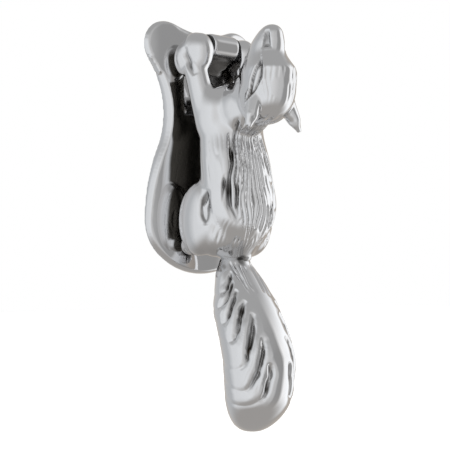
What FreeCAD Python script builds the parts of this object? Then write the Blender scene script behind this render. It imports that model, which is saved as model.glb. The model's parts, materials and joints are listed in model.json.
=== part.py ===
# Door knocker: a climbing squirrel that hangs by its hands from a lug on a waisted back plate.
# Millimetres. Origin: centre of the plate's flat back. +X right, +Y into the door, +Z up.
# "out" is the distance in front of the door, so a point's Y is minus its out.
import FreeCAD, Part
import os
from FreeCAD import Placement, Rotation, Vector

doc = FreeCAD.newDocument("door_knocker")
sheet = doc.addObject("Spreadsheet::Sheet", "sizes")

DRIVING = {
    # outline of the back plate
    "lobe_x": 21.5, "lobe_z": 49.3, "lobe_radius": 12.4, "saddle_z": 57.5,
    "waist_half": 22.5, "waist_z": 16.0, "hip_half": 33.2, "hip_z": -36.0,
    "corner_radius": 22.0, "bottom_z": -62.4,
    # domed front, hollow back
    "dome_half_width": 75.0, "dome_radius_out": 30.0, "dome_half_height": 130.0,
    "dome_sink": 22.0, "plate_wall": 3.0, "plate_blank": 12.0,
    # threaded inserts for the two door bolts
    "boss_radius": 5.5, "insert_radius": 3.5, "insert_length": 5.5, "thread_radius": 2.1,
    "bolt_half_spacing": 32.0,
    # hinge
    "pin_out": 17.0, "pin_z": 48.4, "pin_radius": 2.5, "pin_half_length": 18.6,
    "knuckle_radius": 6.1, "knuckle_half": 7.5, "lug_root_out": 4.0,
    "lug_top_z": 56.5, "lug_bottom_z": 35.0,
    "washer_radius": 5.4, "washer_thick": 1.0, "running_gap": 0.05,
    "grub_radius": 1.5, "grub_length": 6.0, "plug_gap": 0.1, "plug_reach": 22.0,
    # room that the hands leave round the lug
    "slot_out_near": 4.0, "slot_out_far": 27.0, "slot_z_low": 32.0, "slot_z_high": 60.0,
    # tail joint
    "collar_out": 30.0, "collar_top_z": -46.0, "collar_bottom_z": -55.0,
    "collar_top_radius": 9.0, "collar_radius": 6.2,
    "stud_radius": 2.0, "stud_top_z": -45.0, "stud_bottom_z": -66.0,
}

# Rounded masses of the figure: centre x, out, z, then half width, half depth, half height.
MASSES = {
    "torso": (0.0, 30.5, -26.0, 19.5, 15.6, 26.0),
    "chest": (0.0, 27.0, 2.0, 17.5, 13.2, 28.0),
    "neck": (0.0, 40.0, 17.0, 10.5, 13.0, 12.5),
    "head": (0.0, 52.5, 25.0, 12.2, 15.4, 15.3),
    "muzzle": (0.0, 54.8, 42.0, 7.0, 8.2, 10.8),
}
# The same, for the pieces that come in left and right pairs.
PAIRED_MASSES = {
    "hand": (14.4, 17.4, 45.0, 7.1, 6.8, 8.8),
    "palm": (17.5, 10.6, 43.0, 4.4, 4.4, 4.6),
    "haunch": (15.0, 22.4, -36.2, 7.6, 13.4, 17.2),
    "foot": (14.0, 12.6, -50.0, 5.0, 7.0, 5.5),
}
# Tapering limbs in pairs: start x, out, z, radius, then end x, out, z, radius.
LIMBS = {
    "arm": (14.6, 17.0, 38.0, 5.0, 11.4, 24.0, 11.0, 7.2),
    "ear": (9.0, 55.6, 19.0, 6.0, 15.0, 56.8, 3.8, 1.1),
}
# Cross-sections of the tail from the collar down: z, out, half width, half depth.
TAIL_SECTIONS = (
    (-55.0, 30.0, 6.2, 6.2),
    (-61.5, 30.8, 9.8, 9.2),
    (-70.0, 34.2, 13.6, 12.6),
    (-80.0, 38.0, 16.8, 15.0),
    (-92.0, 43.6, 18.2, 16.0),
    (-105.0, 46.6, 18.2, 15.8),
    (-118.0, 46.2, 16.6, 14.6),
    (-128.0, 43.8, 12.6, 11.4),
    (-135.3, 41.4, 4.4, 4.4),
)


MASS_COLUMNS = ("x", "out", "z", "half_width", "half_depth", "half_height")
LIMB_COLUMNS = ("x", "out", "z", "radius", "end_x", "end_out", "end_z", "end_radius")
TAIL_COLUMNS = ("z", "out", "half_width", "half_depth")


def write_row(row, title, aliases, values):
    """A title in the first column, then one value per column, each with its own alias."""
    sheet.set("A%d" % row, title)
    for column, alias, value in zip("BCDEFGHI", aliases, values):
        address = column + str(row)
        sheet.set(address, str(value))
        sheet.setAlias(address, alias)


def fill_sheet():
    lines = [(alias, [alias], [value]) for alias, value in DRIVING.items()]
    for table, columns in ((MASSES, MASS_COLUMNS), (PAIRED_MASSES, MASS_COLUMNS), (LIMBS, LIMB_COLUMNS)):
        for name, values in table.items():
            lines.append((name, ["%s_%s" % (name, column) for column in columns], values))
    for number, values in enumerate(TAIL_SECTIONS):
        aliases = ["tail%d_%s" % (number, column) for column in TAIL_COLUMNS]
        lines.append(("tail_section_%d" % number, aliases, values))
    for row, line in enumerate(lines, start=1):
        write_row(row, *line)
    doc.recompute()


def size(alias):
    return float(getattr(sheet, alias))


def bind(thing, **expressions):
    for prop, expression in expressions.items():
        thing.setExpression(prop.replace("__", "."), expression)


def at(thing, x="0", out="0", z="0", rotation=None):
    """Place a thing by expressions of the sheet's cells, after its turn is set."""
    if rotation is not None:
        thing.Placement = Placement(Vector(), rotation)
    bind(thing, Placement__Base__x=x, Placement__Base__y="-(%s)" % out, Placement__Base__z=z)
    return thing


BOLT_HEIGHTS = {"upper": "sizes.bolt_half_spacing", "lower": "-sizes.bolt_half_spacing"}
ALONG_X = Rotation(Vector(0, 1, 0), 90)
ALONG_OUT = Rotation(Vector(1, 0, 0), 90)


def cylinder(name, radius, length, rotation=None, **place):
    thing = doc.addObject("Part::Cylinder", name)
    bind(thing, Radius=radius, Height=length)
    return at(thing, rotation=rotation, **place)


def ellipsoid(name, width, depth, height, **place):
    thing = doc.addObject("Part::Ellipsoid", name)
    bind(thing, Radius1=height, Radius2=width, Radius3=depth)
    thing.Angle1 = -90
    thing.Angle2 = 90
    thing.Angle3 = 360  # the three together give the whole ellipsoid
    return at(thing, **place)


def fuse(name, *things):
    joined = doc.addObject("Part::MultiFuse", name)
    joined.Shapes = list(things)
    return joined


def cut(name, base, tool):
    carved = doc.addObject("Part::Cut", name)
    carved.Base = base
    carved.Tool = tool
    return carved


def common(name, *things):
    shared = doc.addObject("Part::MultiCommon", name)
    shared.Shapes = list(things)
    return shared


def origin_plane(body, role):
    return next(f for f in body.Origin.OriginFeatures if f.Role == role)


def sketch_on(body, role, name):
    sketch = body.newObject("Sketcher::SketchObject", name)
    sketch.AttachmentSupport = [(origin_plane(body, role), "")]
    sketch.MapMode = "FlatFace"
    return sketch


# ---- back plate ----

def touch_point(near, near_radius, far, far_radius):
    """Where two circles that lie outside each other touch."""
    toward = (far - near) * (1.0 / (near_radius + far_radius))
    return near + toward * near_radius


def blend_radius(across, along, radius):
    """Radius of an arc that touches a circle of the given radius from outside.

    The arc's extreme point lies across and along from the circle's centre, and its own centre
    lies beyond that point in the across direction.
    """
    return (across ** 2 + along ** 2 - radius ** 2) / (2 * (radius - across))


def mirror(point):
    return Vector(-point.x, point.y, 0)


def plate_outline(inset):
    """Arcs of the outline as start, middle and end points, moved inwards by the inset."""
    lobe = Vector(size("lobe_x"), size("lobe_z"), 0)
    lobe_radius = size("lobe_radius")
    saddle_radius = blend_radius(size("saddle_z") - lobe.y, lobe.x, lobe_radius)
    saddle = Vector(0, size("saddle_z") + saddle_radius, 0)

    waist_radius = blend_radius(size("waist_half") - lobe.x, lobe.y - size("waist_z"), lobe_radius)
    waist = Vector(size("waist_half") + waist_radius, size("waist_z"), 0)

    flank_radius = blend_radius(waist.x - size("hip_half"), size("waist_z") - size("hip_z"),
                                waist_radius)
    flank = Vector(size("hip_half") - flank_radius, size("hip_z"), 0)

    corner_radius = size("corner_radius")
    corner = Vector(size("hip_half") - corner_radius, size("hip_z"), 0)
    fall = size("hip_z") - size("bottom_z")
    bottom_radius = (corner.x ** 2 + fall ** 2 - corner_radius ** 2) / (2 * (fall - corner_radius))
    bottom = Vector(0, size("bottom_z") + bottom_radius, 0)

    saddle_point = touch_point(lobe, lobe_radius - inset, saddle, saddle_radius + inset)
    lobe_point = touch_point(lobe, lobe_radius - inset, waist, waist_radius + inset)
    waist_point = touch_point(flank, flank_radius - inset, waist, waist_radius + inset)
    hip_point = corner + Vector(corner_radius - inset, 0, 0)
    corner_way = (corner - bottom).normalize()
    corner_point = corner + corner_way * (corner_radius - inset)

    half = [
        (lobe, lobe_radius - inset, saddle_point, lobe_point),
        (waist, waist_radius + inset, lobe_point, waist_point),
        (flank, flank_radius - inset, waist_point, hip_point),
        (corner, corner_radius - inset, hip_point, corner_point),
    ]
    arcs = []
    for centre, radius, start, end in half:
        bisector = ((start - centre) + (end - centre)).normalize()
        arcs.append((start, centre + bisector * radius, end))
    mirrored = [tuple(mirror(point) for point in reversed(arc)) for arc in reversed(arcs)]
    floor_arc = (corner_point, Vector(0, size("bottom_z") + inset, 0), mirror(corner_point))
    saddle_arc = (mirror(saddle_point), Vector(0, size("saddle_z") - inset, 0), saddle_point)
    return arcs + [floor_arc] + mirrored + [saddle_arc]


def outline_pad(name, inset, length):
    """The outline, drawn on the door plane and padded outwards."""
    body = doc.addObject("PartDesign::Body", name)
    sketch = sketch_on(body, "XZ_Plane", name + "_outline")
    for start, middle, end in plate_outline(inset):
        sketch.addGeometry(Part.Arc(start, middle, end), False)
    doc.recompute()
    pad = body.newObject("PartDesign::Pad", name + "_pad")
    pad.Profile = sketch
    bind(pad, Length=length)
    doc.recompute()
    return body


def lug_pad():
    """Side profile of the lug's web, padded evenly to both sides."""
    body = doc.addObject("PartDesign::Body", "lug_web")
    sketch = sketch_on(body, "YZ_Plane", "lug_profile")
    top = Vector(-size("pin_out"), size("pin_z") + size("knuckle_radius"), 0)
    low = Vector(-size("pin_out"), size("pin_z") - size("knuckle_radius"), 0)
    root_top = Vector(-size("lug_root_out"), size("lug_top_z"), 0)
    root_low = Vector(-size("lug_root_out"), size("lug_bottom_z"), 0)
    corners = [top, root_top, root_low, low]
    for start, end in zip(corners, corners[1:] + corners[:1]):
        sketch.addGeometry(Part.LineSegment(start, end), False)
    doc.recompute()
    pad = body.newObject("PartDesign::Pad", "lug_web_pad")
    pad.Profile = sketch
    pad.Midplane = True
    bind(pad, Length="2 * sizes.knuckle_half")
    doc.recompute()
    return body


def along_x(name, radius, half_length):
    return cylinder(name, radius, "2 * (%s)" % half_length, rotation=ALONG_X,
                    x="-(%s)" % half_length, out="sizes.pin_out", z="sizes.pin_z")


def make_plate():
    blank = outline_pad("plate_blank_body", 0.0, "sizes.plate_blank")
    dome = ellipsoid("dome", "sizes.dome_half_width", "sizes.dome_radius_out",
                     "sizes.dome_half_height", out="-sizes.dome_sink")
    front = common("plate_front", blank, dome)
    hollow_blank = outline_pad("hollow_blank_body", size("plate_wall"), "sizes.plate_blank")
    inner_dome = ellipsoid("inner_dome", "sizes.dome_half_width - sizes.plate_wall",
                           "sizes.dome_radius_out - sizes.plate_wall",
                           "sizes.dome_half_height - sizes.plate_wall", out="-sizes.dome_sink")
    hollow = common("hollow", hollow_blank, inner_dome)
    bosses = []
    bores = []
    for place, height in BOLT_HEIGHTS.items():
        bosses.append(cylinder(place + "_boss", "sizes.boss_radius", "sizes.plate_blank",
                               rotation=ALONG_OUT, z=height))
        bores.append(cylinder(place + "_insert_bore", "sizes.insert_radius",
                              "sizes.insert_length", rotation=ALONG_OUT, z=height))
    hollow_round_bosses = cut("hollow_round_bosses", hollow, fuse("bosses", *bosses))
    shell = cut("plate_shell", front, hollow_round_bosses)
    knuckle = along_x("knuckle", "sizes.knuckle_radius", "sizes.knuckle_half")
    solid = fuse("plate_and_lug", shell, lug_pad(), knuckle)
    pin_bore = along_x("pin_bore", "sizes.pin_radius", "sizes.knuckle_half + sizes.washer_thick")
    grub_bore = cylinder("grub_bore", "sizes.grub_radius", "sizes.pin_out", rotation=ALONG_OUT,
                         z="sizes.pin_z")
    return cut("backplate", solid, fuse("plate_holes", pin_bore, grub_bore, *bores))


def make_inserts():
    inserts = []
    for place, height in BOLT_HEIGHTS.items():
        sleeve = cylinder("insert_%s_sleeve" % place, "sizes.insert_radius",
                          "sizes.insert_length", rotation=ALONG_OUT, z=height)
        thread = cylinder("insert_%s_thread" % place, "sizes.thread_radius",
                          "sizes.insert_length", rotation=ALONG_OUT, z=height)
        inserts.append(cut("insert_" + place, sleeve, thread))
    return inserts


# ---- hinge ----

def make_hinge():
    pin = along_x("hinge_pin", "sizes.pin_radius", "sizes.pin_half_length")
    grub = cylinder("pin_grub_screw", "sizes.grub_radius", "sizes.grub_length",
                    rotation=ALONG_OUT, z="sizes.pin_z",
                    out="sizes.pin_out - sizes.pin_radius - sizes.grub_length")
    washers = []
    for side, start in (("left", "-sizes.knuckle_half - sizes.washer_thick"),
                        ("right", "sizes.knuckle_half")):
        place = {"x": start, "out": "sizes.pin_out", "z": "sizes.pin_z", "rotation": ALONG_X}
        disc = cylinder("washer_%s_disc" % side, "sizes.washer_radius",
                        "sizes.washer_thick", **place)
        hole = cylinder("washer_%s_hole" % side, "sizes.pin_radius",
                        "sizes.washer_thick", **place)
        washers.append(cut("washer_" + side, disc, hole))
    return [pin, grub] + washers


def make_plugs():
    """Short plugs that close the bores in the hands, flush with the skin."""
    plugs = []
    start = "(sizes.pin_half_length + sizes.plug_gap)"
    length = "sizes.plug_reach - " + start
    for side, sign in (("left", "-"), ("right", "")):
        first = "-sizes.plug_reach" if side == "left" else start
        rod = cylinder("plug_%s_rod" % side, "sizes.pin_radius + sizes.running_gap", length,
                       rotation=ALONG_X, x=first, out="sizes.pin_out", z="sizes.pin_z")
        skin = mass("plug_%s_skin" % side, "hand", sign)
        plugs.append(common("pin_plug_" + side, rod, skin))
    return plugs


# ---- figure ----

def mass(name, row, sign=""):
    cells = "sizes.%s_" % row
    return ellipsoid(name, cells + "half_width", cells + "half_depth", cells + "half_height",
                     x=sign + cells + "x", out=cells + "out", z=cells + "z")


def limb(name, row, side):
    """A cone between two points of the sheet, mirrored by the sign of its side."""
    start = Vector(side * size(row + "_x"), -size(row + "_out"), size(row + "_z"))
    end = Vector(side * size(row + "_end_x"), -size(row + "_end_out"), size(row + "_end_z"))
    cone = doc.addObject("Part::Cone", name)
    bind(cone, Radius1="sizes.%s_radius" % row, Radius2="sizes.%s_end_radius" % row)
    cone.Height = (end - start).Length
    cone.Placement = Placement(start, Rotation(Vector(0, 0, 1), end - start))
    return cone


def make_figure():
    pieces = [mass(name + "_mass", name) for name in MASSES]
    for side, sign, factor in (("left", "-", -1), ("right", "", 1)):
        pieces += [mass("%s_%s" % (name, side), name, sign) for name in PAIRED_MASSES]
        pieces += [limb("%s_%s" % (name, side), name, factor) for name in LIMBS]
    collar = doc.addObject("Part::Cone", "collar")
    bind(collar, Radius1="sizes.collar_radius", Radius2="sizes.collar_top_radius",
         Height="sizes.collar_top_z - sizes.collar_bottom_z")
    at(collar, out="sizes.collar_out", z="sizes.collar_bottom_z")
    skin = fuse("figure_skin", collar, *pieces)

    slot = doc.addObject("Part::Box", "lug_slot")
    half = "(sizes.knuckle_half + sizes.washer_thick + 2 * sizes.running_gap)"
    bind(slot, Length="2 * " + half, Width="sizes.slot_out_far - sizes.slot_out_near",
         Height="sizes.slot_z_high - sizes.slot_z_low")
    at(slot, x="-" + half, out="sizes.slot_out_far", z="sizes.slot_z_low")
    bore = along_x("hand_bore", "sizes.pin_radius + sizes.running_gap", "sizes.plug_reach")
    stud_bore = cylinder("body_stud_bore", "sizes.stud_radius",
                         "sizes.stud_top_z - sizes.stud_bottom_z",
                         out="sizes.collar_out", z="sizes.stud_bottom_z")
    return cut("figure_body", skin, fuse("figure_holes", slot, bore, stud_bore))


def make_tail():
    rings = []
    for number in range(len(TAIL_SECTIONS)):
        cells = "sizes.tail%d_" % number
        ring = doc.addObject("Part::Ellipse", "tail_ring_%d" % number)
        bind(ring, MajorRadius=cells + "half_width", MinorRadius=cells + "half_depth")
        rings.append(at(ring, out=cells + "out", z=cells + "z"))
    brush = doc.addObject("Part::Loft", "tail_brush")
    brush.Sections = rings
    brush.Solid = True
    brush.Ruled = False
    stud_bore = cylinder("tail_stud_bore", "sizes.stud_radius",
                         "sizes.stud_top_z - sizes.stud_bottom_z",
                         out="sizes.collar_out", z="sizes.stud_bottom_z")
    tail = cut("tail", brush, stud_bore)
    stud = cylinder("tail_stud", "sizes.stud_radius", "sizes.stud_top_z - sizes.stud_bottom_z",
                    out="sizes.collar_out", z="sizes.stud_bottom_z")
    return [tail, stud]


fill_sheet()
nodes = [make_plate()] + make_inserts() + make_hinge() + make_plugs() + [make_figure()] + make_tail()
doc.recompute()

for thing in doc.Objects:
    if "Invalid" in thing.State or "Error" in thing.State:
        raise RuntimeError("%s did not build: %s" % (thing.Name, thing.State))

os.makedirs("parts", exist_ok=True)
for node in nodes:
    shape = node.Shape
    if shape.isNull() or not shape.isValid():
        raise RuntimeError("%s has no valid shape" % node.Label)
    box = shape.optimalBoundingBox()
    print("%-16s solids %d  volume %9.1f  x %.1f..%.1f  y %.1f..%.1f  z %.1f..%.1f" % (
        node.Label, len(shape.Solids), shape.Volume,
        box.XMin, box.XMax, box.YMin, box.YMax, box.ZMin, box.ZMax))
    shape.exportStep(os.path.join("parts", node.Label + ".step"))
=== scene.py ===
import json
import math

import bpy
import numpy as np
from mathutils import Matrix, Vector
from mathutils.kdtree import KDTree


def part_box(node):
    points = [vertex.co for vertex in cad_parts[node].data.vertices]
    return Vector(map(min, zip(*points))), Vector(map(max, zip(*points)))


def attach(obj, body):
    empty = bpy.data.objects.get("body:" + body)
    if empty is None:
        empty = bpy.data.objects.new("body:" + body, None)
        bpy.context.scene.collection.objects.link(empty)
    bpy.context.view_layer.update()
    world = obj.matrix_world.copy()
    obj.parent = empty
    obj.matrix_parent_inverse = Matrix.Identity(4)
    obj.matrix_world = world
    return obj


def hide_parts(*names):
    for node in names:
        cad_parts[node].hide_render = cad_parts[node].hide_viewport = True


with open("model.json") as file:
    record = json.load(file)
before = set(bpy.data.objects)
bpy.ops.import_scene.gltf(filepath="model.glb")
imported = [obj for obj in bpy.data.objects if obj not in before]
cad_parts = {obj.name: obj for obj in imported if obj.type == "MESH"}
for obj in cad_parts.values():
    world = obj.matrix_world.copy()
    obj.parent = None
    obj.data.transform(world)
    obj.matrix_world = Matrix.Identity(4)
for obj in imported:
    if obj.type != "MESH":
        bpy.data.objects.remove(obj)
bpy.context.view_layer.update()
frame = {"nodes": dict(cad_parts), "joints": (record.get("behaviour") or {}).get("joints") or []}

mm = 0.001
leastSize = 0.02  # mm, so that a lofted end never closes to nothing
swing = frame["joints"][0]
pinOut, pinZ = -swing["pos_m"][1] / mm, swing["pos_m"][2] / mm


def spot(x, out, z):  # millimetres across, out from the door and up, to metres
    return Vector((x * mm, -out * mm, z * mm))


def deselectAll():
    if bpy.context.object and bpy.context.object.mode != "OBJECT":
        bpy.ops.object.mode_set(mode="OBJECT")
    bpy.ops.object.select_all(action="DESELECT")


def useOnly(piece):
    deselectAll()
    piece.select_set(True)
    bpy.context.view_layer.objects.active = piece


def addBall(centre, radii, tilt=(0, 0, 0)):
    deselectAll()
    bpy.ops.mesh.primitive_uv_sphere_add(segments=40, ring_count=24, radius=1)
    ball = bpy.context.object
    ball.scale = [radius * mm for radius in radii]
    ball.rotation_euler = [math.radians(angle) for angle in tilt]
    ball.location = spot(*centre)
    bpy.ops.object.transform_apply(location=True, rotation=True, scale=True)
    return ball


def addLimb(start, startRadius, end, endRadius):
    deselectAll()
    a, b = spot(*start), spot(*end)
    bpy.ops.mesh.primitive_cone_add(vertices=40, radius1=startRadius * mm, radius2=endRadius * mm,
                                    depth=(b - a).length)
    cone = bpy.context.object
    cone.rotation_mode = "QUATERNION"
    cone.rotation_quaternion = (b - a).to_track_quat("Z", "Y")
    cone.location = (a + b) / 2
    bpy.ops.object.transform_apply(location=True, rotation=True, scale=True)
    return cone


def joinAs(name, pieces):
    deselectAll()
    for piece in pieces:
        piece.select_set(True)
    bpy.context.view_layer.objects.active = pieces[0]
    bpy.ops.object.join()
    whole = bpy.context.object
    whole.name = name
    whole.data.name = name
    return whole


def applyModifier(piece, kind, **settings):
    useOnly(piece)
    modifier = piece.modifiers.new(kind.title(), kind)
    for key, value in settings.items():
        setattr(modifier, key, value)
    bpy.ops.object.modifier_apply(modifier=modifier.name)


def remesh(piece, voxel):
    applyModifier(piece, "REMESH", mode="VOXEL", voxel_size=voxel * mm, use_smooth_shade=True)


def soften(piece, repeats, group=""):
    applyModifier(piece, "SMOOTH", factor=0.5, iterations=repeats, vertex_group=group)


def softenWhere(piece, repeats, name, weights):
    group = piece.vertex_groups.new(name=name)
    for index in np.nonzero(weights > 0.02)[0]:
        group.add([int(index)], float(weights[index]), "REPLACE")
    soften(piece, repeats, name)


def readPoints(piece):  # across, out, up in millimetres, one row per vertex
    flat = np.empty(len(piece.data.vertices) * 3)
    piece.data.vertices.foreach_get("co", flat)
    points = flat.reshape(-1, 3) / mm
    points[:, 1] *= -1
    return points


def readNormals(piece):
    flat = np.empty(len(piece.data.vertices) * 3)
    piece.data.vertex_normals.foreach_get("vector", flat)
    normals = flat.reshape(-1, 3)
    normals[:, 1] *= -1
    return normals


def writePoints(piece, points):
    metres = points * mm
    metres[:, 1] *= -1
    piece.data.vertices.foreach_set("co", metres.ravel())
    piece.data.update()


def writeAmount(piece, name, amount):
    store = piece.data.attributes.new(name, "FLOAT", "POINT")
    store.data.foreach_set("value", np.clip(amount, 0, 1).astype(np.float32))


def ramp(values, low, high):  # 0 below low, 1 above high, smooth between
    t = np.clip((values - low) / (high - low), 0, 1)
    return t * t * (3 - 2 * t)


def band(values, rise, fall):  # 1 between two soft edges, each given as its start and end
    return ramp(values, *rise) * (1 - ramp(values, *fall))


def strokeDepth(u, v, path, width, taper, fade=0):  # 0..1 round a line drawn on the surface
    best = np.zeros(len(u))
    count = len(path) - 1
    for number in range(count):
        (u0, v0), (u1, v1) = path[number], path[number + 1]
        du, dv = u1 - u0, v1 - v0
        along = np.clip(((u - u0) * du + (v - v0) * dv) / (du * du + dv * dv), 0, 1)
        away = np.hypot(u - u0 - along * du, v - v0 - along * dv) / width
        place = (number + along) / count
        strength = np.minimum(1, np.minimum(place, 1 - place) / taper) ** 0.7 * (1 - fade * place)
        best = np.maximum(best, strength * np.clip(1 - away, 0, 1) ** 1.4)
    return best


def smoothCurve(share, level, values):  # cubic through the table's rows
    slope = np.gradient(values, level)
    row = np.clip(np.searchsorted(level, share, side="right") - 1, 0, len(level) - 2)
    width = level[row + 1] - level[row]
    t = (share - level[row]) / width
    a, b = values[row], values[row + 1]
    return ((2 * t ** 3 - 3 * t ** 2 + 1) * a + (t ** 3 - 2 * t ** 2 + t) * slope[row] * width
            + (3 * t ** 2 - 2 * t ** 3) * b + (t ** 3 - t ** 2) * slope[row + 1] * width)


def bendPath(points, steps):  # smooth curve through a few points, in steps from each to the next
    level = np.arange(len(points), dtype=float)
    share = np.linspace(0, level[-1], steps * (len(points) - 1) + 1)
    u, v = (smoothCurve(share, level, column) for column in np.array(points, dtype=float).T)
    return list(zip(u, v))


def grain(random, u, v, uSize, vSize):  # soft random field from -1 to 1, cells of the given size
    table = random.uniform(-1, 1, (64, 64))
    a, b = u / uSize + 32, v / vSize + 32
    column, row = np.floor(a).astype(int), np.floor(b).astype(int)
    fa, fb = a - column, b - row
    fa, fb = fa * fa * (3 - 2 * fa), fb * fb * (3 - 2 * fb)
    column, row = column % 63, row % 63
    top = table[column, row] * (1 - fa) + table[column + 1, row] * fa
    bottom = table[column, row + 1] * (1 - fa) + table[column + 1, row + 1] * fa
    return top * (1 - fb) + bottom * fb


def drift(random, u, v, amount, uSize, vSize):
    return amount * grain(random, u, v, uSize, vSize)


def furrows(random, u, v, uSize, vSize, width):  # long wandering grooves, 1 at their bottom
    return np.clip(1 - np.abs(grain(random, u, v, uSize, vSize)) / width, 0, 1) ** 1.3


def strokes(random, u, v, spacing, length):  # side by side grooves broken into lengths
    sway = drift(random, u, v, 0.4, spacing * 3, length)
    wave = 0.5 + 0.5 * np.cos((u / spacing + sway) * math.tau)
    return wave ** 1.6 * ramp(grain(random, u, v, spacing * 1.4, length), -0.4, 0.1)


def addSections(name, sections, segments, rings):  # ball stretched to rows of height, out, half sizes
    deselectAll()
    bpy.ops.mesh.primitive_uv_sphere_add(segments=segments, ring_count=rings, radius=1)
    piece = bpy.context.object
    piece.name = name
    piece.data.name = name
    unit = readPoints(piece) * mm
    share = np.arccos(np.clip(unit[:, 2], -1, 1)) / math.pi  # 0 at the top, 1 at the bottom
    around = np.arctan2(unit[:, 0], unit[:, 1])  # 0 faces out from the door
    table = np.array(sections)
    steps = np.hypot(np.diff(table[:, 0]), np.diff(table[:, 2]))
    level = np.concatenate([[0], np.cumsum(steps)])
    level /= level[-1]
    z, out, halfWidth, halfDepth = (smoothCurve(share, level, column) for column in table.T)
    halfWidth, halfDepth = np.maximum(halfWidth, leastSize), np.maximum(halfDepth, leastSize)
    points = np.stack([np.sin(around) * halfWidth, out + np.cos(around) * halfDepth, z], 1)
    writePoints(piece, points)
    return piece, around, out


# Bright nickel plate over a brass casting: a near mirror with slight waves from hand polishing. Grooves and
# recesses turn dark brown, partly polish residue and partly painted shade;
# where the casting was never polished it is dull and dark grey, that darkness also painted shade where it
# faces the door and under the lug.
def hexColour(code):
    channels = [int(code[i:i + 2], 16) / 255 for i in (1, 3, 5)]
    return [c / 12.92 if c <= 0.04045 else ((c + 0.055) / 1.055) ** 2.4 for c in channels] + [1.0]


def addNode(tree, kind, inputs=None, **settings):
    node = tree.nodes.new(kind)
    for key, value in settings.items():
        setattr(node, key, value)
    for name, value in (inputs or {}).items():
        if isinstance(value, bpy.types.NodeSocket):
            tree.links.new(value, node.inputs[name])
        else:
            node.inputs[name].default_value = value
    return node


def mixColours(tree, factor, first, second):
    return addNode(tree, "ShaderNodeMix", {"Factor": factor, "A": first, "B": second},
                   data_type="RGBA").outputs["Result"]


def startMaterial(name):
    material = bpy.data.materials.new(name)
    material.use_nodes = True
    tree = material.node_tree
    shader = tree.nodes["Principled BSDF"]
    place = addNode(tree, "ShaderNodeTexCoord").outputs["Object"]
    return material, tree, shader, place


nickelLook = {
    "plate": "#DCDCDD", "residueAndShadeColour": "#2C251D", "unpolishedAndShade": "#4A4742",
    "roughness": 0.045, "smear": 0.07, "tarnishRoughness": 0.25, "castRoughness": 0.45,
    "residueAndShadeCloud": (0.3, 0.7), "leastResidueAndShade": 0.35, "smearCloud": (0.35, 0.75),
    "cloud": 13.0, "waviness": 7.0, "waveHeight": 0.02, "castGrain": 0.9, "castHeight": 0.12,  # mm
}


def mapRange(tree, value, source, low, high):
    return addNode(tree, "ShaderNodeMapRange", {"Value": value, "From Min": source[0], "From Max": source[1],
                                                "To Min": low, "To Max": high}).outputs["Result"]


def nickelMaterial():
    look = nickelLook
    material, tree, shader, place = startMaterial("nickelPlatePolished")
    residueAndShade = addNode(tree, "ShaderNodeAttribute", attribute_name="residueAndShade").outputs["Fac"]
    dullAndShaded = addNode(tree, "ShaderNodeAttribute", attribute_name="unpolishedAndShade").outputs["Fac"]
    cloud = addNode(tree, "ShaderNodeTexNoise",
                    {"Vector": place, "Scale": 1 / (look["cloud"] * mm), "Detail": 3.0}).outputs["Fac"]
    patchy = mapRange(tree, cloud, look["residueAndShadeCloud"], look["leastResidueAndShade"], 1.0)
    # painted shade: the groove amount, broken into patches, darkens the colour towards dark brown, which is
    # also polish residue
    patchyResidueAndShade = addNode(tree, "ShaderNodeMath", {0: residueAndShade, 1: patchy}, operation="MULTIPLY",
                   use_clamp=True).outputs[0]
    withResidueAndShade = mixColours(tree, patchyResidueAndShade, hexColour(look["plate"]), hexColour(look["residueAndShadeColour"]))
    # painted shade: the never-polished amount darkens the colour to dark grey as well as dulling it
    colour = mixColours(tree, dullAndShaded, withResidueAndShade, hexColour(look["unpolishedAndShade"]))
    tree.links.new(colour, shader.inputs["Base Color"])
    smear = mapRange(tree, cloud, look["smearCloud"], look["roughness"], look["smear"])
    dull = addNode(tree, "ShaderNodeMix", {"Factor": patchyResidueAndShade, "A": smear, "B": look["tarnishRoughness"]})
    rough = addNode(tree, "ShaderNodeMix", {"Factor": dullAndShaded, "A": dull.outputs["Result"],
                                            "B": look["castRoughness"]})
    tree.links.new(rough.outputs["Result"], shader.inputs["Roughness"])
    wave = addNode(tree, "ShaderNodeTexNoise",
                   {"Vector": place, "Scale": 1 / (look["waviness"] * mm), "Detail": 1.0})
    polished = addNode(tree, "ShaderNodeBump", {"Height": wave.outputs["Fac"], "Strength": 1.0,
                                                "Distance": look["waveHeight"] * mm})
    sand = addNode(tree, "ShaderNodeTexNoise",
                   {"Vector": place, "Scale": 1 / (look["castGrain"] * mm), "Detail": 3.0})
    pitted = addNode(tree, "ShaderNodeBump",
                     {"Height": sand.outputs["Fac"], "Strength": dullAndShaded, "Normal": polished.outputs["Normal"],
                      "Distance": look["castHeight"] * mm})
    tree.links.new(pitted.outputs["Normal"], shader.inputs["Normal"])
    shader.inputs["Metallic"].default_value = 1.0
    return material


nickel = nickelMaterial()


def dress(piece, material, body):
    piece.data.materials.clear()
    piece.data.materials.append(material)
    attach(piece, body)


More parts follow.
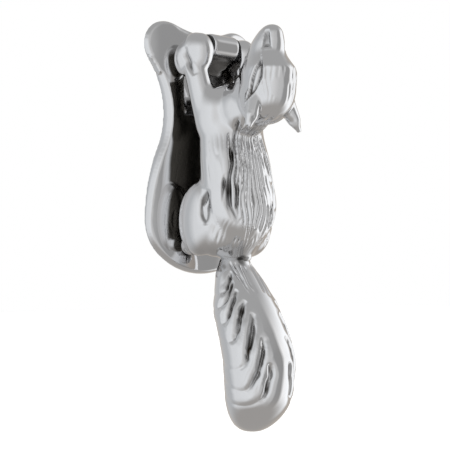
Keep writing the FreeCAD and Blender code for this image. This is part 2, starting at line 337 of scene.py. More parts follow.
# The squirrel. Sections give height, out, half width and half depth; balls give centre (across,
# out, up), radii and tilt; limbs give start, radius, end, radius. Pairs are mirrored.
figureShape = {
    "torso": ((29.4, 27.5, 0.05, 0.05), (28.8, 27.5, 7.0, 5.0), (26.0, 27.2, 11.0, 8.5),
              (20.0, 26.6, 13.6, 10.4), (12.0, 26.0, 16.0, 12.2), (4.0, 26.2, 17.2, 12.4),
              (-7.0, 28.4, 18.5, 13.5), (-18.6, 30.0, 19.0, 15.0), (-30.0, 31.0, 20.0, 15.6),
              (-38.6, 31.0, 17.6, 15.2), (-47.0, 31.0, 11.8, 10.5), (-52.0, 29.2, 9.2, 8.0),
              (-55.2, 28.2, 7.6, 6.6), (-56.0, 28.2, 0.05, 0.05)),
    "head": ((52.9, 55.6, 0.05, 0.05), (52.4, 55.6, 2.4, 2.8), (50.8, 55.4, 4.4, 5.0),
             (45.9, 53.4, 6.8, 8.2), (39.0, 51.9, 8.8, 10.2), (35.0, 52.4, 10.5, 12.6),
             (32.0, 53.0, 11.8, 14.4), (26.9, 52.8, 12.2, 14.6), (20.0, 51.4, 12.5, 15.4),
             (13.0, 50.4, 10.8, 13.4), (8.5, 49.6, 7.0, 9.0), (6.6, 49.4, 0.05, 0.05)),
    "neck": (((0, 34.5, 15.6), (12.8, 17.0, 13.5)), ((0, 44, 21), (11.6, 11, 14.5))),
    "arms": (((15.4, 17.0, 38), 5.8, (12.6, 24.0, 9), 6.2),),
    "soft": (((11.0, 24.5, 13), (8.0, 9.0, 14), (0, 0, 0)),
             ((10.0, 26.0, -41), (10.5, 12.0, 13.5), (0, 0, 0)),
             ((17.0, 11.4, 41.8), (5.6, 5.9, 8.6), (0, 0, 0)),
             ((14.0, 15.6, 44.4), (7.4, 7.4, 10.2), (0, 0, 0)),
             ((13.2, 18.6, 44.4), (6.6, 6.8, 9.6), (0, 0, 0))),
    "blunt": (((15.2, 21.6, -36.0), (8.3, 14.0, 18.0), (8, 0, 0)),
              ((14, 13.4, -48.5), (5, 7.2, 5.0), (0, 0, 0))),
    "knot": (((2.6, 33.2, -54.4), (3.4, 2.4, 2.6), (0, -15, 0)),),
    "ears": (((8.2, 54.0, 19.5), 5.0, (13.4, 56.8, 8.4), 3.0),
             ((13.2, 56.7, 9.0), 3.1, (15.7, 57.5, 3.6), 1.3)),
    "torsoGrid": (96, 120), "headGrid": (80, 90),
    "stages": ((0.9, 12), (0.65, 6), (0.5, 3)),  # voxel in mm, then smoothing
}


def mirrored(centre):
    return (-centre[0], centre[1], centre[2])


def pairOfBalls(centre, radii, tilt):
    return [addBall(centre, radii, tilt), addBall(mirrored(centre), radii, (tilt[0], -tilt[1], -tilt[2]))]


def pairOfLimbs(start, startRadius, end, endRadius):
    return [addLimb(start, startRadius, end, endRadius),
            addLimb(mirrored(start), startRadius, mirrored(end), endRadius)]


def blendStage(pieces, stage):
    body = joinAs("figureCasting", pieces)
    voxel, repeats = figureShape["stages"][stage]
    remesh(body, voxel)
    soften(body, repeats)
    return body


def makeFigure():
    shape = figureShape
    soft = [addSections("torso", shape["torso"], *shape["torsoGrid"])[0]]
    soft += [addBall(*numbers) for numbers in shape["neck"]]
    for numbers in shape["arms"]:
        soft += pairOfLimbs(*numbers)
    for numbers in shape["soft"]:
        soft += pairOfBalls(*numbers)
    body = blendStage(soft, 0)
    firm = [body, addSections("head", shape["head"], *shape["headGrid"])[0]]
    for numbers in shape["blunt"]:
        firm += pairOfBalls(*numbers)
    body = blendStage(firm, 1)
    sharp = [body] + [addBall(*numbers) for numbers in shape["knot"]]
    for numbers in shape["ears"]:
        sharp += pairOfLimbs(*numbers)
    return blendStage(sharp, 2)


# Fur: pairs are where a zone's edge starts and ends in mm, or by a normal's lean if named facing;
# drifts are amount, then cell sizes; strokes are spacing and length; furrows are cell sizes and
# width; depths are in mm.
furShape = {
    "axisOut": 28.5, "radius": 17.0,  # the strokes are laid out round this upright axis
    "foot": (-54, -49), "shoulder": (8, 15), "belly": (2.0, 2.4),  # the belly's in radians
    "nape": (38, 42), "napeHeight": (6, 12), "neckSide": (11, 13), "neckHeight": (0, 5),
    "haunch": (17.0, 19.0), "haunchTop": (18, 22), "haunchRear": (13, 19), "haunchFoot": (-50, -44),
    "roughInner": (8.2, 9.6), "roughOuter": (14.6, 17.0), "roughTop": (-11, -3), "roughFoot": (34, 49),
    "back": (7.6, 9.6), "flank": (16.0, 18.5), "aboveRoot": (-52, -38),
    "rootSide": (18, 23), "rootFoot": (-51, -45), "rootFacing": (-0.1, 0.2),
    "edgeDrift": (1.6, 3.0, 7.0), "heightDrift": (5, 2.6, 40.0), "sideDrift": (1.2, 6.0, 10.0),
    "roughStrokes": (2.6, 12.0), "roughFurrows": (2.6, 13.0, 0.5), "longStrands": (2.4, 14.0),
    "shortStrands": (2.4, 9.0), "flankFurrows": (2.4, 14.0, 0.22), "rootStrokes": (2.5, 7.0),
    "rearStrokes": (2.4, 9.0), "flankLean": 0.22, "rootLean": 0.45, "rearStretch": 1.4,
    "roughDepth": 1.4, "furrowDepth": 1.3, "strandDepth": 0.8, "flankDepth": 0.2, "rootDepth": 1.1,
    "rearDepth": 0.8, "stainAndShade": (0.45, 1.2),
}
crownShape = {
    "axisOut": 52.0, "radius": 13.0, "top": (55, 58), "foot": (13, 22), "brow": (27, 37),
    "side": (9.5, 12.5), "drift": (0.8, 4.0, 6.0), "strokes": (2.1, 7.0), "depth": 0.32,
}


def carveFur(random, points, normals):  # depth in mm at every point of the torso
    fur = furShape
    x, out, z = points.T
    around = np.arctan2(x, out - fur["axisOut"])  # 0 at the middle of the back
    s = around * fur["radius"]
    side = np.abs(s)
    torso = band(z, fur["foot"], fur["shoulder"]) * (1 - ramp(np.abs(around), *fur["belly"]))
    torso = torso * (1 - ramp(out, *fur["nape"]) * ramp(z, *fur["napeHeight"]))
    torso = torso * (1 - ramp(side, *fur["neckSide"]) * ramp(z, *fur["neckHeight"]))
    bare = ramp(np.abs(x), *fur["haunch"]) * ramp(-z, *fur["haunchTop"])  # haunches stay smooth
    torso = torso * (1 - bare)

    # a rough band runs down each side of the back, ragged along both edges and at its foot
    edge = drift(random, s, z, *fur["edgeDrift"])
    rough = band(side + edge, fur["roughInner"], fur["roughOuter"])
    ragged = z + drift(random, s, z, *fur["heightDrift"])
    rough = rough * ramp(-ragged, *fur["roughTop"]) * (1 - ramp(-ragged, *fur["roughFoot"]))
    wander = s + drift(random, s, z, *fur["sideDrift"])
    deep = strokes(random, wander, z, *fur["roughStrokes"]) * fur["roughDepth"]
    deep = deep + furrows(random, wander, z, *fur["roughFurrows"]) * fur["furrowDepth"]
    back = 1 - ramp(side, *fur["back"])
    strands = strokes(random, wander, z, *fur["longStrands"])
    strands = np.maximum(strands, strokes(random, wander, z, *fur["shortStrands"])) * fur["strandDepth"]
    flank = ramp(side, *fur["flank"])
    fine = furrows(random, s + fur["flankLean"] * z, z, *fur["flankFurrows"]) * fur["flankDepth"]

    # short strokes fan out over the tail's root, and the haunches' rear edges have their own
    aboveRoot = ramp(ragged, *fur["aboveRoot"])
    root = strokes(random, side + fur["rootLean"] * z, z, *fur["rootStrokes"])
    root = fur["rootDepth"] * (root * (1 - ramp(side, *fur["rootSide"])))
    root = root * ramp(z, *fur["rootFoot"]) * ramp(normals[:, 1], *fur["rootFacing"])
    haunchRear = bare * (1 - ramp(out, *fur["haunchRear"])) * ramp(z, *fur["haunchFoot"])
    hair = strokes(random, out * fur["rearStretch"], z, *fur["rearStrokes"]) * fur["rearDepth"]
    mix = rough * deep + back * strands + flank * fine
    return torso * (mix * aboveRoot + root * (1 - aboveRoot)) + haunchRear * hair


def carveCrown(random, points):  # faint strokes on the forehead
    crown = crownShape
    x, out, z = points.T
    s = np.arctan2(x, out - crown["axisOut"]) * crown["radius"]
    zone = ramp(out, *crown["top"]) * ramp(z, *crown["foot"]) * (1 - ramp(z, *crown["brow"]))
    zone = zone * (1 - ramp(np.abs(s), *crown["side"]))
    wander = s + drift(random, s, z, *crown["drift"])
    return zone * strokes(random, wander, z, *crown["strokes"]) * crown["depth"]


# Eye: a long almond socket round a bulging ball, its top leaning forward. Lengths are in mm up
# and round the head's axis; the edges of the socket and lid are shares of the almond's size.
# Near is how far across and out the feature starts, and how far up or down it goes.
eyeShape = {
    "height": 26.4, "axisOut": 52.0, "radius": 13.0, "angle": 61, "lean": 1.35, "curl": 0.05,
    "halfWidth": 3.0, "halfHeight": 11.5, "pointed": 10.5, "socketEdge": (0.7, 1.0),
    "lid": ((0.75, 1.05), (1.1, 1.55)), "ball": (1.8, 7.0),
    "socketDepth": 2.1, "ballRise": 2.4, "lidRise": 0.5, "stainAndShade": 1.4, "near": (2, 46, 14),
}


def isNear(shape, side, x, out, up):
    across, front, height = shape["near"]
    return (side * x > across) & (out > front) & (np.abs(up) < height)


def carveEye(points, normals, side):
    eye = eyeShape
    x, out, z = points.T
    up = z - eye["height"]
    near = isNear(eye, side, x, out, up)
    middle = np.radians(eye["angle"] - eye["lean"] * up + eye["curl"] * up ** 2)
    across = (np.arctan2(side * x, out - eye["axisOut"]) - middle) * eye["radius"]
    width = eye["halfWidth"] * np.sqrt(np.clip(1 - np.abs(up / eye["pointed"]), 0.05, 1))
    reach = np.hypot(across / width, up / eye["halfHeight"])
    socket = np.where(near, 1 - ramp(reach, *eye["socketEdge"]), 0)
    lid = np.where(near, band(reach, *eye["lid"]), 0)
    ballWidth, ballHeight = eye["ball"]
    bulge = np.clip(1 - (across / ballWidth) ** 2 - (up / ballHeight) ** 2, 0, 1)
    ball = np.where(near, bulge, 0) ** 0.5
    rise = eye["socketDepth"] * socket - eye["ballRise"] * ball - eye["lidRise"] * lid
    points -= normals * rise[:, None]
    # painted shade: the socket round the ball is darkened
    stainAndShade = eye["stainAndShade"] * ramp(socket, 0.0, 0.4) * (1 - ramp(ball, 0.3, 0.8))
    return stainAndShade, ramp(socket + lid, 0.0, 0.3)


nostrilShape = {
    "height": 45.2, "axisOut": 53.5, "radius": 7.5, "angle": 47, "halfWidth": 1.9, "halfHeight": 4.2,
    "narrowing": (0.85, 16.0), "edge": (0.55, 1.15), "depth": 1.6, "stainAndShade": 0.55, "near": (0, 50, 7),
}


def carveNostril(points, normals, side):  # a tall slot, wider at its foot
    nose = nostrilShape
    x, out, z = points.T
    across = (np.arctan2(side * x, out - nose["axisOut"]) - math.radians(nose["angle"])) * nose["radius"]
    up = z - nose["height"]
    middleWidth, fall = nose["narrowing"]
    narrow = nose["halfWidth"] * np.clip(middleWidth - up / fall, 0.2, 1.2)
    ring = np.maximum(np.abs(across) / narrow, np.abs(up) / nose["halfHeight"])
    near = isNear(nose, side, x, out, up)
    slot = np.where(near, 1 - ramp(ring, *nose["edge"]), 0)
    points -= normals * (nose["depth"] * slot)[:, None]
    # painted shade: the slot is darkened
    return nose["stainAndShade"] * slot


# Lines cut into the side of the figure: paths run out and up; each line's width is in mm and its
# taper is the share of its length over which an end fades
sideShape = {
    "dimple": ([(31.0, -22.5), (31.6, -31), (32.0, -40)], 3.8, 0.3),
    "swirl": ([(32.6, -26), (31.4, -31), (32.4, -38)], 1.5, 0.3),
    "dimpleDepth": 2.6, "swirlRise": 1.2, "haunchSide": (14.5, 16.5), "dimpleShade": 1.1,
    "fold": ([(16.0, 46.5), (16.8, 42.5), (19.0, 37), (22.0, 32)], 2.3, 0.3),
    "crease": ([(10.6, 45), (10.2, 41), (11.4, 37)], 1.5, 0.4),
    "foldDepth": 2.0, "creaseDepth": 0.9, "handSide": (13.0, 15.0), "foldShade": 0.7, "creaseShade": 0.6,
}


def carveHaunch(points, normals, side):  # a dimple with a lumpy swirl inside it
    shape = sideShape
    x, out, z = points.T
    dimple = strokeDepth(out, z, *shape["dimple"])
    swirl = strokeDepth(out, z, *shape["swirl"])
    onSide = ramp(side * x, *shape["haunchSide"])
    points -= normals * ((shape["dimpleDepth"] * dimple - shape["swirlRise"] * swirl) * onSide)[:, None]
    # painted shade: the dimple is darkened, the swirl inside it not
    return shape["dimpleShade"] * ramp(dimple, 0.2, 0.45) * (1 - ramp(swirl, 0.1, 0.4)) * onSide


def carveHand(points, normals, side):  # a long fold between palm and fingers, a crease behind it
    shape = sideShape
    x, out, z = points.T
    fold = strokeDepth(out, z, *shape["fold"])
    crease = strokeDepth(out, z, *shape["crease"])
    onHand = ramp(side * x, *shape["handSide"])
    points -= normals * ((shape["foldDepth"] * fold + shape["creaseDepth"] * crease) * onHand)[:, None]
    # painted shade: the fold and the crease are darkened
    stainAndShade = shape["foldShade"] * ramp(fold, 0.4, 0.8) + shape["creaseShade"] * ramp(crease, 0.3, 0.8)
    return stainAndShade * onHand


handShape = {"inside": 8.6, "palm": 4, "foot": (33.5, 36), "front": 27}


def flattenHands(points):  # the hands' inner faces are flat against the washers
    shape = handShape
    x, out, z = points.T
    low, high = shape["foot"]
    inside = shape["inside"]
    hand = (np.abs(x) < inside) & (np.abs(x) > shape["palm"]) & (z > low) & (out < shape["front"])
    press = ramp(z[hand], low, high)
    points[hand, 0] = x[hand] * (1 - press) + np.where(x[hand] > 0, inside, -inside) * press


# Where the figure faces the door: the belly's arch and the insides of the arms are dull as casting the
# polishing wheel couldn't reach, and dark as painted shade between figure and plate;
# higher door-facing surfaces and the feet's undersides are darkened as painted shade; the dark joint where
# the tail is joined on. Pairs as the fur's.
doorSideShape = {
    "facing": (0.42, 0.62), "depth": (-27, -22), "reach": 13, "spread": 8, "spreadHeight": (8, 24),
    "flat": 8, "spring": 6, "rise": 12.0, "edge": (0.92, 1.0),
    "armSide": (9.0, 10.5), "armFoot": (2, 8), "armTop": (44, 48), "doorShadeTop": (10, 16), "stainAndShade": 0.6,
    "foot": (-52, -46), "footFacing": (0.1, 0.5), "footShade": 0.3,
}
jointShape = {"aside": 0.8, "height": 56.0, "size": 3.0}


def jointStain(points):
    x, z = points[:, 0], points[:, 2]
    size = jointShape["size"]
    away = np.hypot((x + jointShape["aside"]) / size, (z + jointShape["height"]) / size)
    return 1 - ramp(away, 0.5, 1.0)


def paintStainAndShade(body, points, normals, stainAndShade):
    shape = doorSideShape
    x, out, z = points.T
    facesDoor = ramp(-normals[:, 1], *shape["facing"]) * ramp(-out, *shape["depth"])
    reach = shape["reach"] + shape["spread"] * ramp(-z, *shape["spreadHeight"])
    arch = np.hypot(np.maximum((np.abs(x) - shape["flat"]) / reach, 0),
                    np.maximum(z - shape["spring"], 0) / shape["rise"])
    belly = facesDoor * (1 - ramp(arch, *shape["edge"]))
    underArm = facesDoor * ramp(np.abs(x), *shape["armSide"]) * ramp(z, *shape["armFoot"])
    underArm = underArm * (1 - ramp(z, *shape["armTop"]))
    # painted shade on the undersides of the feet
    underFoot = (1 - ramp(z, *shape["foot"])) * ramp(-normals[:, 2], *shape["footFacing"])
    stainAndShade = stainAndShade + jointStain(points) + shape["footShade"] * underFoot
    # painted shade on surfaces facing the door
    stainAndShade = stainAndShade + shape["stainAndShade"] * facesDoor * ramp(z, *shape["doorShadeTop"])
    writeAmount(body, "residueAndShade", stainAndShade)
    # the belly's arch and the arms' insides: dull, and dark grey as painted shade
    writeAmount(body, "unpolishedAndShade", np.maximum(belly, underArm))


def carveFigure(body):
    random = np.random.default_rng(11)
    points = readPoints(body)
    normals = readNormals(body)
    fur = carveFur(random, points, normals) + carveCrown(random, points)
    points -= normals * fur[:, None]
    # fur grooves darken at their bottoms: brown residue and painted shade
    stainAndShade = ramp(fur, *furShape["stainAndShade"])
    eyes = np.zeros(len(points))
    for side in (-1, 1):
        eyeShade, nearEye = carveEye(points, normals, side)
        eyes = np.maximum(eyes, nearEye)
        stainAndShade = stainAndShade + eyeShade
        for carve in (carveNostril, carveHaunch, carveHand):
            stainAndShade = stainAndShade + carve(points, normals, side)
    flattenHands(points)
    writePoints(body, points)
    softenWhere(body, 4, "eyes", eyes)
    paintStainAndShade(body, points, normals, stainAndShade)


print("figure: masses")
figure = makeFigure()
print("figure: fur and face")
carveFigure(figure)
dress(figure, nickel, "figure")
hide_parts("figure_body")
print("figure:", len(figure.data.polygons), "faces")


# Tail: sections as the torso's; each slot between two locks runs from angle and height at its
# head to angle and height at its foot, the angle in degrees from the middle of the outer side.
tailShape = {
    "segments": 220, "rings": 260,
    "sections": ((-55.2, 28.2, 0.05, 0.05), (-55.4, 28.2, 7.2, 6.2), (-58, 28.6, 8.6, 7.2),
                 (-61.4, 30.0, 10.6, 9.0), (-67, 32.6, 12.7, 11.1), (-72.8, 35.3, 14.9, 13.0),
                 (-78.4, 37.4, 16.6, 14.6), (-89.5, 42.6, 17.7, 15.4), (-100.4, 46.4, 18.0, 15.7),
                 (-111.6, 46.8, 17.3, 15.2), (-122.7, 45.4, 15.4, 13.6), (-128.3, 43.8, 12.6, 11.2),
                 (-132.5, 42.2, 8.8, 8.0), (-135.0, 41.2, 4.0, 4.0), (-135.3, 41.0, 0.05, 0.05)),
    "grooves": (((50, -61.5), (66, -66.0), (84, -71.0), (130, -72.0)),
                ((54, -65.5), (68, -71.0), (88, -77.5), (132, -78.5)),
                ((46, -69.5), (62, -77.0), (84, -84.5), (132, -85.0)),
                ((34, -74.5), (52, -83.0), (76, -92.5), (134, -92.0)),
                ((25, -80.0), (42, -91.0), (66, -104.0), (100, -104.5), (136, -99.5)),
                ((20, -90.5), (33, -102.0), (54, -114.0), (92, -113.5), (136, -107.5)),
                ((16, -102.0), (21, -109.5), (30, -118.0), (74, -121.5), (136, -115.5))),
    "rootStrokes": (((54, -57), (40, -61), (23, -66.5)), ((33, -57), (26, -64), (22, -73.0)),
                    ((14, -58), (11, -64), (9, -71.0))),
    # a slot's bent path has five steps from point to point, and its parts use its first or last
    # steps; a fade is the share over which an end tapers, then how much is lost along the way
    "radius": 16.0, "sideShift": 1.2, "drift": (0.9, 5.0, 6.0), "pathSteps": 5,
    "deepWidth": 2.2, "deep": 2.5, "deepSteps": 12, "deepFade": (0.3, 0.5),
    "wideWidth": 5.0, "wide": 1.4, "wideSteps": 14, "wideFade": (0.3, 0.7),
    "strandAsides": (2.6, 4.6), "strandDrop": 0.4, "strandSteps": 9, "strandWidth": 1.1, "strand": 0.3,
    "notchPath": ((-3, 0), (2, 0), (8, 0.6)), "notchWidth": 2.6, "notch": 0.8,
    "footSteps": 8, "footWidth": 2.0, "foot": 0.9,
    "rootWidth": 1.8, "rootDepth": 1.1, "lump": (1.8, 3.0), "lumpDepth": 0.8,
    "slotsTop": (57, 62), "slotsFoot": (121, 129),
}


def bendTailPath(points):  # from degrees and height to lengths round the tail and up
    radius = tailShape["radius"]
    return bendPath([(math.radians(degrees) * radius, height) for degrees, height in points],
                    tailShape["pathSteps"])


def slotDepths(angle, z):  # how deep, wide and finely grooved the slots are, 0 to 1
    shape = tailShape
    deep, wide, strand = np.zeros(len(z)), np.zeros(len(z)), np.zeros(len(z))
    for groove in shape["grooves"]:
        path = bendTailPath(groove)
        deep = np.maximum(deep, strokeDepth(angle, z, path[:shape["deepSteps"]], shape["deepWidth"],
                                            *shape["deepFade"]))
        wide = np.maximum(wide, strokeDepth(angle, z, path[:shape["wideSteps"]], shape["wideWidth"],
                                            *shape["wideFade"]))
        for aside in shape["strandAsides"]:
            beside = [(u + aside, v - shape["strandDrop"] * aside) for u, v in path[:shape["strandSteps"]]]
            strand = np.maximum(strand, strokeDepth(angle, z, beside, shape["strandWidth"], 0.45))
        u, v = path[-1]
        notchPath = [(u + aside, v + rise) for aside, rise in shape["notchPath"]]
        notch = strokeDepth(angle, z, notchPath, shape["notchWidth"], 0.35)
        wide = np.maximum(wide, shape["notch"] * notch)
        foot = strokeDepth(angle, z, path[shape["footSteps"]:], shape["footWidth"], 0.3)
        strand = np.maximum(strand, shape["foot"] * foot)
    return deep, wide, strand


def makeTail():
    shape = tailShape
    tail, around, centre = addSections("tailCasting", shape["sections"], shape["segments"], shape["rings"])
    points = readPoints(tail)
    z = points[:, 2]
    angle = np.abs(around) * shape["radius"] - shape["sideShift"] * (around > 0)  # mm from its outer middle
    random = np.random.default_rng(5)
    angle = angle + drift(random, angle * np.sign(around), z, *shape["drift"])
    deep, wide, strand = slotDepths(angle, z)
    ends = ramp(-z, *shape["slotsTop"]) * (1 - ramp(-z, *shape["slotsFoot"]))
    lumps = grain(random, angle, z, *shape["lump"]) * ramp(deep, 0.1, 0.5)
    depth = (shape["deep"] * deep + shape["wide"] * wide + shape["strand"] * strand
             + shape["lumpDepth"] * lumps) * ends
    for stroke in shape["rootStrokes"]:
        path = bendTailPath(stroke)
        depth += shape["rootDepth"] * strokeDepth(angle, z, path, shape["rootWidth"], 0.25)
    middle = np.stack([np.zeros(len(points)), centre, z], 1)
    radial = points - middle
    length = np.maximum(np.linalg.norm(radial, axis=1), 1e-6)
    points = middle + radial * np.clip((length - depth) / length, 0.02, 2)[:, None]
    writePoints(tail, points)
    # painted shade: the deep parts of the slots are darkened, also as brown residue; the dark joint line too
    writeAmount(tail, "residueAndShade", ramp(deep, 0.15, 0.55) * ends + jointStain(points))
    writeAmount(tail, "unpolishedAndShade", np.zeros(len(points)))
    useOnly(tail)
    bpy.ops.object.shade_smooth()
    return tail


print("tail")
tail = makeTail()
dress(tail, nickel, "figure")
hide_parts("tail")


# Back plate: the CAD casting, its edges and corners softened as a sand casting's are, and a
# broad fillet where the lug grows out of it
plateShape = {
    "voxel": 0.55, "repeats": 8, "rimRepeats": 2, "filletRepeats": 90,
    "domeHalfWidth": 75, "domeDepth": 30, "domeHalfHeight": 130, "domeSink": 22, "rimRound": 1.7,
    "boltHeight": 32, "bossClear": 8, "wallTop": 2.5, "domeTop": 9, "atEdge": 0.4,
    "filletOut": ((3.0, 4.5), (9.0, 12.0)), "filletSide": (14, 20), "filletFoot": (28, 34),
    "shadeSide": (8, 11), "shadeHeight": ((26, 32), (43, 45)), "shadeOut": (5, 7),
    "shadeStain": 0.6, "shadeDull": 0.7, "behind": (0.2, 0.5), "behindOut": (9, 11),
}


def roundRim(plate):  # turns the square front edge into a quarter ellipse
    shape = plateShape
    points = readPoints(plate)
    normals = readNormals(plate)
    x, out, z = points.T
    outwards = (x * normals[:, 0] + z * normals[:, 2]) / np.hypot(x, z)
    clear = np.hypot(x, np.abs(z) - shape["boltHeight"]) > shape["bossClear"]  # of the bosses behind
    upright = (np.abs(normals[:, 1]) < 0.3) & (outwards > 0.2)
    wall = np.nonzero(upright & (out < shape["wallTop"]) & clear)[0]
    tree = KDTree(len(wall))
    for index in wall:
        tree.insert((x[index], 0, z[index]), int(index))
    tree.balance()
    squares = np.clip(1 - (x / shape["domeHalfWidth"]) ** 2 - (z / shape["domeHalfHeight"]) ** 2, 0, 1)
    dome = shape["domeDepth"] * np.sqrt(squares) - shape["domeSink"]
    face = (np.abs(out - dome) < 0.25) & (normals[:, 1] > 0.9)
    points[face, 1] = dome[face]
    front = (out > 0.02) & ((outwards > 0.1) | (normals[:, 1] > 0.1)) & (out < shape["domeTop"])
    for index in np.nonzero(front)[0]:
        edge, _, away = tree.find((x[index], 0, z[index]))
        if away >= shape["rimRound"]:
            continue
        height = dome[index]
        turn = min(away / shape["rimRound"] + min(out[index] / height, 1), 2) * math.pi / 4
        inward = Vector((x[index], 0, z[index])) - edge
        if away < shape["atEdge"]:
            inward = Vector((-normals[index, 0], 0, -normals[index, 2]))
        inward.normalize()
        place = edge + inward * shape["rimRound"] * (1 - math.cos(turn))
        points[index] = (place.x, height * math.sin(turn), place.z)
    writePoints(plate, points)


def makePlate():
    shape = plateShape
    deselectAll()
    source = frame["nodes"]["backplate"]
    plate = bpy.data.objects.new("plateCasting", source.data.copy())
    bpy.context.scene.collection.objects.link(plate)
    useOnly(plate)
    bpy.ops.object.mode_set(mode="EDIT")
    bpy.ops.mesh.select_all(action="SELECT")
    bpy.ops.mesh.remove_doubles(threshold=1e-6)
    bpy.ops.object.mode_set(mode="OBJECT")
    if plate.data.has_custom_normals:
        bpy.ops.mesh.customdata_custom_splitnormals_clear()
    remesh(plate, shape["voxel"])
    soften(plate, shape["repeats"])
    roundRim(plate)
    soften(plate, shape["rimRepeats"])
    x, out, z = readPoints(plate).T
    root = band(out, *shape["filletOut"]) * (1 - ramp(np.abs(x), *shape["filletSide"]))
    softenWhere(plate, shape["filletRepeats"], "lugRoot", root * ramp(z, *shape["filletFoot"]))
    return plate


def paintPlateShade(plate):  # under the lug: darkened and dulled as painted shade; the back against the door: dull, dark as never polished and as painted shade
    shape = plateShape
    normals = readNormals(plate)
    x, out, z = readPoints(plate).T
    underLug = (1 - ramp(np.abs(x), *shape["shadeSide"])) * band(z, *shape["shadeHeight"])
    underLug = underLug * ramp(out, *shape["shadeOut"])
    # painted shade under the lug
    writeAmount(plate, "residueAndShade", underLug * shape["shadeStain"])
    behind = ramp(-normals[:, 1], *shape["behind"]) * (1 - ramp(out, *shape["behindOut"]))
    writeAmount(plate, "unpolishedAndShade", np.maximum(behind, shape["shadeDull"] * underLug))


print("plate")
plate = makePlate()
paintPlateShade(plate)
dress(plate, nickel, "plate")
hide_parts("backplate")
print("plate:", len(plate.data.polygons), "faces")


# Plugs: ground flush with the hands after the pin is in, so only a hairline ring shows
plugShape = {"radius": 2.5, "blank": 6, "past": 2, "depth": 2.4, "proud": 0.03}


def makePlug(name, side):
    shape = plugShape
    deselectAll()
    blank = shape["blank"]
    reach = (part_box("figure_body")[1][0] / mm) + shape["past"]  # the blank starts past the hand
    bpy.ops.mesh.primitive_cylinder_add(vertices=48, radius=shape["radius"] * mm, depth=blank * mm,
                                        end_fill_type="TRIFAN",
                                        location=spot(side * (reach - blank / 2), pinOut, pinZ),
                                        rotation=(0, side * math.pi / 2, 0))
    plug = bpy.context.object
    plug.name = name
    plug.data.name = name
    bpy.ops.object.transform_apply(location=True, rotation=True, scale=True)
    bpy.ops.object.mode_set(mode="EDIT")
    bpy.ops.mesh.select_all(action="SELECT")
    bpy.ops.mesh.subdivide(number_cuts=3)
    bpy.ops.object.mode_set(mode="OBJECT")
    points = readPoints(plug)
    stem = side * points[:, 0] <= reach - 0.01
    cap = plug.vertex_groups.new(name="cap")
    cap.add([int(index) for index in np.nonzero(~stem)[0]], 1.0, "REPLACE")
    applyModifier(plug, "SHRINKWRAP", target=figure, wrap_method="PROJECT", use_project_x=True,
                  use_negative_direction=side > 0, use_positive_direction=side < 0,
                  offset=shape["proud"] * mm, vertex_group="cap")
    points = readPoints(plug)
    face = points[~stem]
    rim = face[np.hypot(face[:, 1] - pinOut, face[:, 2] - pinZ) > shape["radius"] - 0.05]
    deepest = np.min(side * rim[:, 0])
    share = (side * points[stem, 0] - (reach - blank)) / blank
    points[stem, 0] = side * (deepest - shape["depth"] * (1 - share))
    writePoints(plug, points)
    useOnly(plug)
    bpy.ops.object.shade_smooth_by_angle(angle=math.radians(40))
    return plug


# Turned steel for the pin, the stud and the screw: fine rings left by the tool
steelLook = {"colour": "#B4B6B9", "roughness": 0.26, "ring": 0.35, "ringHeight": 0.01}  # mm
# Machined brass for the inserts, warm and bright with the knurl's fine bands
brassLook = {"colour": "#C8A35E", "roughness": 0.3, "ring": 0.6, "ringHeight": 0.05}
# Black nylon for the washers, moulded, with a faint satin grain drawn coarse enough to show
nylonLook = {"colour": "#1C1C1D", "fleck": "#262627", "roughness": 0.48, "grain": 0.5,
             "grainHeight": 0.03, "grainStrength": 0.5}
# The lathe's marks on both metals: how far the rings wander and how the roughness varies
turnedLook = {"wander": 0.4, "smoother": 0.08, "rougher": 0.12, "scratch": 1.5, "ringStrength": 0.6}


def ringedMetal(name, look, direction):
    material, tree, shader, place = startMaterial(name)
    shader.inputs["Base Color"].default_value = hexColour(look["colour"])
    shader.inputs["Metallic"].default_value = 1.0
    rings = addNode(tree, "ShaderNodeTexWave",
                    {"Vector": place, "Scale": math.tau / (20 * look["ring"] * mm),
                     "Distortion": turnedLook["wander"]}, bands_direction=direction)
    scratches = addNode(tree, "ShaderNodeTexNoise",
                        {"Vector": place, "Scale": 1 / (turnedLook["scratch"] * mm)})
    rough = mapRange(tree, scratches.outputs["Fac"], (0, 1), look["roughness"] - turnedLook["smoother"],
                     look["roughness"] + turnedLook["rougher"])
    tree.links.new(rough, shader.inputs["Roughness"])
    bump = addNode(tree, "ShaderNodeBump",
                   {"Height": rings.outputs["Fac"], "Strength": turnedLook["ringStrength"],
                    "Distance": look["ringHeight"] * mm})
    tree.links.new(bump.outputs["Normal"], shader.inputs["Normal"])
    return material


def nylonMaterial():
    look = nylonLook
    material, tree, shader, place = startMaterial("nylonMoulded")
    fleck = addNode(tree, "ShaderNodeTexNoise", {"Vector": place, "Scale": 1 / (look["grain"] * mm)})
    colour = mixColours(tree, fleck.outputs["Fac"], hexColour(look["colour"]), hexColour(look["fleck"]))
    tree.links.new(colour, shader.inputs["Base Color"])
    shader.inputs["Roughness"].default_value = look["roughness"]
    bump = addNode(tree, "ShaderNodeBump",
                   {"Height": fleck.outputs["Fac"], "Strength": look["grainStrength"],
                    "Distance": look["grainHeight"] * mm})
    tree.links.new(bump.outputs["Normal"], shader.inputs["Normal"])
    return material


print("plugs and small parts")
for name, node, side in (("plugLeft", "pin_plug_left", -1), ("plugRight", "pin_plug_right", 1)):
    plug = makePlug(name, side)
    for amount in ("residueAndShade", "unpolishedAndShade"):
        writeAmount(plug, amount, np.zeros(len(plug.data.vertices)))
    dress(plug, nickel, "figure")
    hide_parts(node)

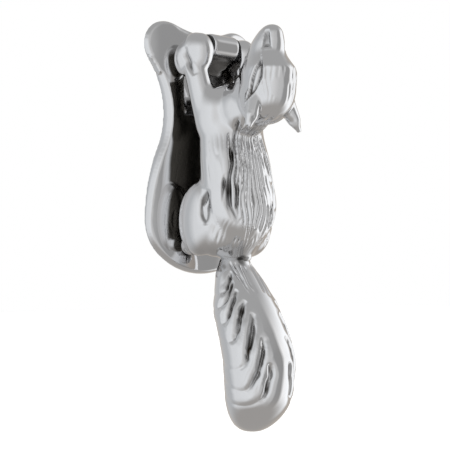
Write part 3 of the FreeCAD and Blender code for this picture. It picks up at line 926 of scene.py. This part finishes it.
smallParts = {
    "hinge_pin": ringedMetal("steelTurnedPin", steelLook, "X"),
    "pin_grub_screw": ringedMetal("steelTurnedScrew", steelLook, "Y"),
    "tail_stud": ringedMetal("steelTurnedStud", steelLook, "Z"),
    "insert_upper": ringedMetal("brassMachined", brassLook, "Y"),
    "washer_left": nylonMaterial(),
}
smallParts["insert_lower"] = smallParts["insert_upper"]
smallParts["washer_right"] = smallParts["washer_left"]
for node, material in smallParts.items():
    for socket in frame["nodes"][node].material_slots:
        socket.material = material


# Studio: a white tent, dimmer overhead and underneath
cameraLook = {"azimuth": 38, "distance": 520, "aside": 12.75, "height": -60.5, "pitch": 2.48,
              "lens": 83.2, "sensor": 36}


def makeCamera():
    turn = math.radians(cameraLook["azimuth"])
    ahead = Vector((math.sin(turn), math.cos(turn), 0))
    right = Vector((math.cos(turn), -math.sin(turn), 0))
    data = bpy.data.cameras.new("camera")
    data.lens = cameraLook["lens"]
    data.sensor_width = cameraLook["sensor"]
    camera = bpy.data.objects.new("camera", data)
    camera.location = (right * cameraLook["aside"] - ahead * cameraLook["distance"]) * mm
    camera.location.z = cameraLook["height"] * mm
    camera.rotation_euler = (math.radians(90 + cameraLook["pitch"]), 0, -turn)
    bpy.context.scene.collection.objects.link(camera)
    bpy.context.scene.camera = camera


studioLook = {
    # round the horizon: degrees from straight out towards the right, brightness, warmth
    "round": ((-180, 0.62, 0.0), (-140, 0.60, -0.03), (-118, 0.88, -0.02), (-60, 0.95, -0.02),
              (-30, 0.80, 0.0), (-12, 0.67, 0.0), (8, 0.64, 0.0), (17, 0.38, 0.0), (43, 0.37, 0.01),
              (53, 1.2, 0.0), (90, 1.35, -0.02), (104, 0.46, 0.10), (150, 0.55, 0.10), (180, 0.62, 0.02)),
    "top": (0.47, 0.0), "bottom": (0.42, 0.04), "capEdge": (0.35, 0.85),  # share of straight up or down
    "floorLight": 2.6, "softbox": 60, "paper": "#F4F4F4", "paperRoughness": 0.9, "floorSize": 12,
    "floorDrop": 0.35,
}


def tinted(light, warmth):  # a lamp behind the tent may be brighter than white
    return (light * (1 + warmth), light, light * (1 - warmth), 1)


def makeFloor():
    deselectAll()
    look = studioLook
    bpy.ops.mesh.primitive_plane_add(size=look["floorSize"], location=(0, 0, -look["floorDrop"]))
    floor = bpy.context.object
    floor.name = "studioFloor"
    material, _, shader, _ = startMaterial("paperSweepMatt")
    shader.inputs["Base Color"].default_value = hexColour(look["paper"])
    shader.inputs["Roughness"].default_value = look["paperRoughness"]
    floor.data.materials.append(material)
    floor.visible_glossy = False  # the metal mirrors the tent, not the paper
    bpy.ops.object.light_add(type="SUN", location=(0, 0, 1))
    overhead = bpy.context.object
    overhead.name = "overheadSoftbox"
    overhead.data.energy = look["floorLight"]
    overhead.data.angle = math.radians(look["softbox"])
    overhead.visible_glossy = False


def makeWorld():
    world = bpy.data.worlds.new("studio")
    bpy.context.scene.world = world
    world.use_nodes = True
    tree = world.node_tree
    tree.nodes.clear()
    direction = addNode(tree, "ShaderNodeTexCoord").outputs["Generated"]
    split = addNode(tree, "ShaderNodeSeparateXYZ", {"Vector": direction})
    outward = addNode(tree, "ShaderNodeMath", {0: split.outputs["Y"], 1: -1.0}, operation="MULTIPLY")
    angle = addNode(tree, "ShaderNodeMath", {0: split.outputs["X"], 1: outward.outputs[0]},
                    operation="ARCTAN2")
    share = mapRange(tree, angle.outputs[0], (-math.pi, math.pi), 0, 1)
    tent = addNode(tree, "ShaderNodeValToRGB", {"Fac": share})
    stops = tent.color_ramp.elements
    while len(stops) < len(studioLook["round"]):
        stops.new(0.5)
    for stop, (degrees, light, warmth) in zip(stops, studioLook["round"]):
        stop.position = (degrees + 180) / 360
        stop.color = tinted(light, warmth)
    inner, outer = studioLook["capEdge"]
    colour = tent.outputs["Color"]
    for end, sign in (("top", 1), ("bottom", -1)):
        cap = addNode(tree, "ShaderNodeMapRange",
                      {"Value": split.outputs["Z"], "From Min": sign * inner, "From Max": sign * outer},
                      interpolation_type="SMOOTHSTEP").outputs["Result"]
        colour = mixColours(tree, cap, colour, tinted(*studioLook[end]))
    plain = addNode(tree, "ShaderNodeBackground", {"Color": (1, 1, 1, 1), "Strength": 1.0})
    inside = addNode(tree, "ShaderNodeBackground", {"Color": colour, "Strength": 1.0})
    seen = addNode(tree, "ShaderNodeLightPath").outputs["Is Camera Ray"]
    mix = addNode(tree, "ShaderNodeMixShader", {0: seen, 1: inside.outputs[0], 2: plain.outputs[0]})
    addNode(tree, "ShaderNodeOutputWorld", {"Surface": mix.outputs[0]})


makeCamera()
makeFloor()
makeWorld()
bpy.context.scene.view_settings.view_transform = "Standard"
